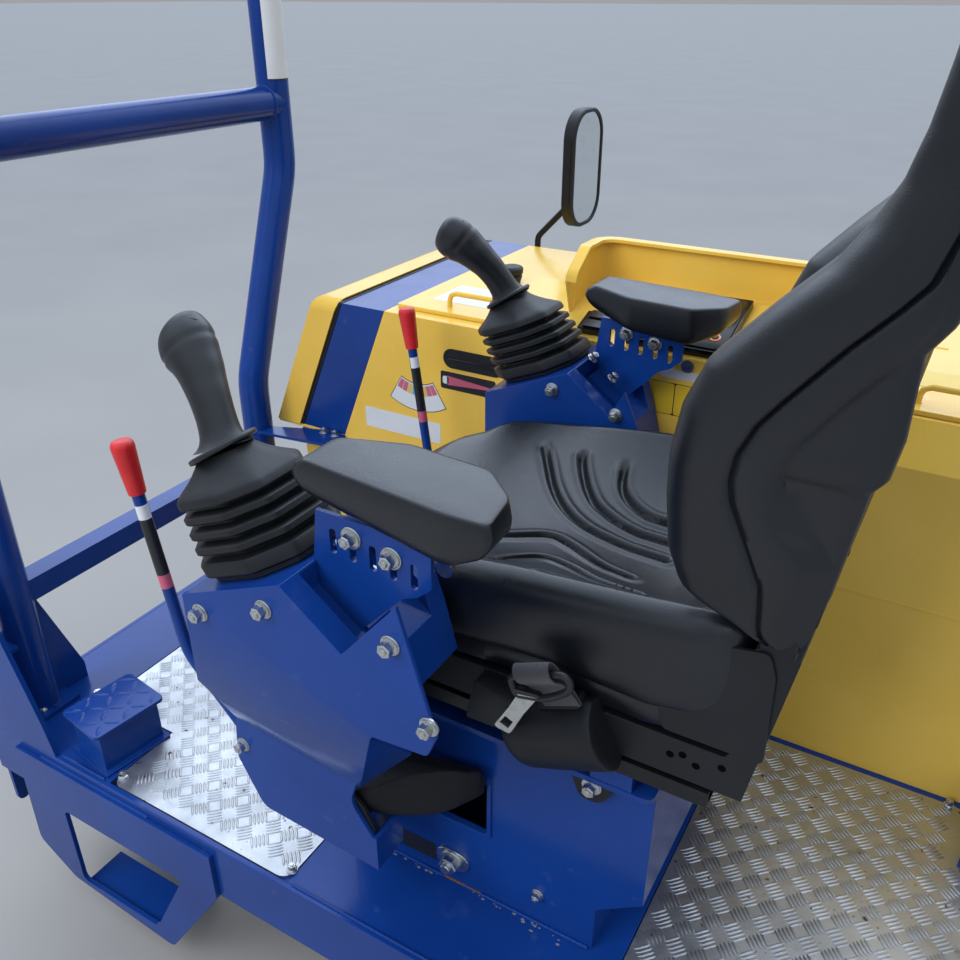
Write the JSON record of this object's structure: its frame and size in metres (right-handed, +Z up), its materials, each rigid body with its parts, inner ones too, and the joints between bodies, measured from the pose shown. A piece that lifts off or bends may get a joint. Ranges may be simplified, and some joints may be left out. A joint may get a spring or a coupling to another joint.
{
  "type": "operator station of a site dumper",
  "caption": "Open operator station of a tracked site dumper: tread deck, engine hood, sliding seat between joystick consoles, guard rail and roll hoop.",
  "frame": {"origin": "centre of the four chassis bolts, in the plane of the bearers' underside", "axes": "+X the way the operator faces, +Y the operator's left, +Z up"},
  "size_m": [1.78, 1.483, 2.2973],
  "materials": {
    "black_steel": "satin",
    "blue_paint": "gloss",
    "display_plastic": "gloss",
    "engine_iron": "rough",
    "gaiter_rubber": "matt",
    "mirror_plastic": "satin",
    "red_plastic": "gloss",
    "seat_vinyl": "grained vinyl",
    "shell_plastic": "grained",
    "sleeve_fabric": "woven",
    "stick_plastic": "satin",
    "tread_sheet": "embossed",
    "yellow_paint": "gloss",
    "zinc_steel": "plated"
  },
  "bodies": {
    "station": {"armrest_pads": "seat_vinyl", "armrest_plates": "blue_paint", "belt_buckle": "display_plastic", "belt_retractor": "shell_plastic", "belt_tongue": "zinc_steel", "console_arms": "blue_paint", "consoles": "blue_paint", "corner_plate": "blue_paint", "deck_bearers": "blue_paint", "deck_cross_members": "blue_paint", "deck_end_beams": "blue_paint", "deck_frame": "blue_paint", "deck_side_beams": "blue_paint", "display_unit": "display_plastic", "engine_block": "engine_iron", "foot_pedals": "blue_paint", "gaiters": "gaiter_rubber", "hood_band": "blue_paint", "hood_end_panel": "yellow_paint", "hood_far_panel": "yellow_paint", "hood_front_frame": "yellow_paint", "hood_front_top": "yellow_paint", "hood_nose_cap": "yellow_paint", "hood_rear_side": "yellow_paint", "hood_rear_top": "yellow_paint", "hood_seal": "gaiter_rubber", "hood_side_panel": "yellow_paint", "hose_sleeve": "sleeve_fabric", "instrument_cowl": "yellow_paint", "joysticks": "stick_plastic", "left_post": "blue_paint", "left_post_foot": "blue_paint", "lever_grips": "red_plastic", "levers": "blue_paint", "lower_rail": "blue_paint", "lower_rails": "zinc_steel", "mirror_arm": "black_steel", "pedestal": "blue_paint", "right_post": "blue_paint", "right_post_bracket": "blue_paint", "roll_hoop": "blue_paint", "seat_table": "blue_paint", "side_step": "blue_paint", "switch_block": "display_plastic", "swivel_latch": "black_steel", "tread_plates": "tread_sheet", "upper_rail": "blue_paint"},
    "seat": {"upper_rails": "black_steel", "seat_pan": "shell_plastic", "seat_cushion": "seat_vinyl"},
    "backrest": {"backrest_shell": "shell_plastic", "backrest_cushion": "seat_vinyl"},
    "front_lid": {"front_lid": "yellow_paint", "lid_knob": "shell_plastic"},
    "rear_lid": {"rear_lid": "yellow_paint"},
    "mirror": {"mirror_head": "mirror_plastic"}
  },
  "joints": [
    {"name": "seat_slide", "type": "slide", "parent": "station", "child": "seat", "axis": [1, 0, 0], "range_m": [-0.06, 0.06]},
    {"name": "backrest_recline", "type": "hinge", "parent": "seat", "child": "backrest", "pos_m": [-0.345, 0, 0.705], "axis": [0, -1, 0], "range_deg": [-6, 18]},
    {"name": "front_lid_hinge", "type": "hinge", "parent": "station", "child": "front_lid", "pos_m": [0.3665, -0.741, 0.705], "axis": [1, 0, 0], "range_deg": [0, 75]},
    {"name": "rear_lid_hinge", "type": "hinge", "parent": "station", "child": "rear_lid", "pos_m": [-0.495, -0.646, 0.717], "axis": [1, 0, 0], "range_deg": [0, 80]},
    {"name": "mirror_swivel", "type": "hinge", "parent": "station", "child": "mirror", "pos_m": [0.446, -1.007, 0.88], "axis": [0, 0, 1], "range_deg": [-40, 60]}
  ]
}
